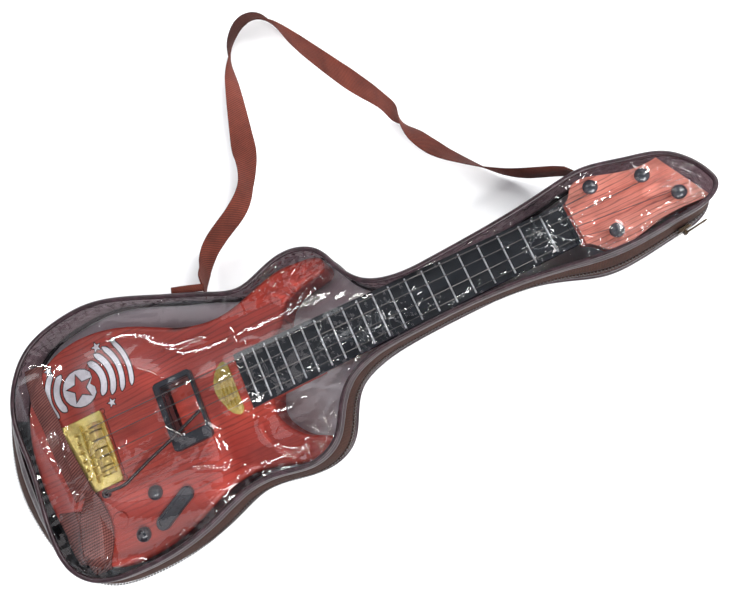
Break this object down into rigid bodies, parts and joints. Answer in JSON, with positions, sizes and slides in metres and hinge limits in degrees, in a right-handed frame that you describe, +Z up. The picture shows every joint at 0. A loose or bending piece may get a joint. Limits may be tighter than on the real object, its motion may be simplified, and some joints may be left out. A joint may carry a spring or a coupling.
{
  "type": "toy electric guitar",
  "caption": "Toy electric guitar with strings, turning tuning pegs, whammy bar and knobs, lying in its clear vinyl zip bag with a webbing shoulder strap.",
  "frame": {"origin": "on the plane that the bag lies on, straight under the middle of the nut", "axes": "+X along the neck to the headstock, +Y towards the bass side, +Z up out of the front"},
  "size_m": [0.6633, 0.4729, 0.0534],
  "materials": {
    "red_wood_grain_plastic": "glossy printed red-brown wood grain",
    "light_wood_grain_plastic": "satin printed salmon-red wood grain",
    "black_plastic": "moulded black, satin to glossy",
    "red_plastic": "moulded red",
    "gold_plating": "bright vacuum-plated gold",
    "fret_metal": "silver",
    "string_steel": "drawn wire",
    "screw_steel": "zinc-plated",
    "decal_print": "printed film sticker",
    "strap_webbing": "red-brown twill webbing",
    "clear_vinyl": "clear glossy soft vinyl, creased",
    "smoky_vinyl": "smoky grey soft vinyl",
    "plum_piping": "glossy plum-brown vinyl piping",
    "zip_tape_fabric": "brown woven zip tape",
    "zip_nylon": "dark brown nylon coil",
    "zip_metal": "brown painted zinc"
  },
  "bodies": {
    "guitar": {"bag_back_sheet": "smoky_vinyl", "bag_front_sheet": "clear_vinyl", "bag_gusset": "smoky_vinyl", "bag_piping_back": "plum_piping", "bag_piping_front": "plum_piping", "body_back_shell": "red_wood_grain_plastic", "body_front_shell": "red_wood_grain_plastic", "bridge_plate": "gold_plating", "bridge_saddles": "gold_plating", "bridge_screws": "gold_plating", "case_screws": "screw_steel", "decal": "decal_print", "fingerboard": "black_plastic", "frets": "fret_metal", "guitar_strap": "strap_webbing", "headstock_cover": "light_wood_grain_plastic", "neck": "red_wood_grain_plastic", "neck_pickup": "gold_plating", "neck_screws": "screw_steel", "nut": "black_plastic", "pickup_ring": "black_plastic", "saddle_screws": "gold_plating", "selector_plate": "black_plastic", "shoulder_strap": "strap_webbing", "strap_buttons": "screw_steel", "strap_tabs": "strap_webbing", "string_1": "string_steel", "string_2": "string_steel", "string_3": "string_steel", "string_4": "string_steel", "whammy_socket": "black_plastic", "zip_tape": "zip_tape_fabric", "zip_teeth": "zip_nylon"},
    "peg_1": {"tuning_peg_1": "red_plastic", "peg_cap_1": "black_plastic"},
    "peg_2": {"tuning_peg_2": "red_plastic", "peg_cap_2": "black_plastic"},
    "peg_3": {"tuning_peg_3": "red_plastic", "peg_cap_3": "black_plastic"},
    "peg_4": {"tuning_peg_4": "red_plastic", "peg_cap_4": "black_plastic"},
    "whammy": {"whammy_bar": "black_plastic"},
    "volume": {"volume_knob": "black_plastic"},
    "tone": {"tone_knob": "black_plastic"},
    "slider": {"zip_slider": "zip_metal"},
    "pull": {"zip_pull": "zip_metal"}
  },
  "joints": [
    {"name": "peg_1_turn", "type": "hinge", "parent": "guitar", "child": "peg_1", "pos_m": [0.027, 0.021, 0.03], "axis": [0, 0, 1], "continuous": true},
    {"name": "peg_2_turn", "type": "hinge", "parent": "guitar", "child": "peg_2", "pos_m": [0.068, 0.011, 0.03], "axis": [0, 0, 1], "continuous": true},
    {"name": "peg_3_turn", "type": "hinge", "parent": "guitar", "child": "peg_3", "pos_m": [0.0295, -0.0215, 0.03], "axis": [0, 0, 1], "continuous": true},
    {"name": "peg_4_turn", "type": "hinge", "parent": "guitar", "child": "peg_4", "pos_m": [0.087, -0.015, 0.03], "axis": [0, 0, 1], "continuous": true},
    {"name": "whammy_swing", "type": "hinge", "parent": "guitar", "child": "whammy", "pos_m": [-0.459, -0.038, 0.042], "axis": [0, 0, 1], "range_deg": [-35, 60]},
    {"name": "volume_turn", "type": "hinge", "parent": "guitar", "child": "volume", "pos_m": [-0.417, -0.055, 0.042], "axis": [0, 0, 1], "range_deg": [0, 270]},
    {"name": "tone_turn", "type": "hinge", "parent": "guitar", "child": "tone", "pos_m": [-0.439, -0.0835, 0.042], "axis": [0, 0, 1], "range_deg": [0, 270]},
    {"name": "zip_run", "type": "slide", "parent": "guitar", "child": "slider", "axis": [-0.9895, -0.1443, 0], "range_m": [0, 0.024]},
    {"name": "pull_swing", "type": "hinge", "parent": "slider", "child": "pull", "pos_m": [0.08092, -0.04463, 0.024], "axis": [0, 0, 1], "range_deg": [-150, 0]}
  ]
}
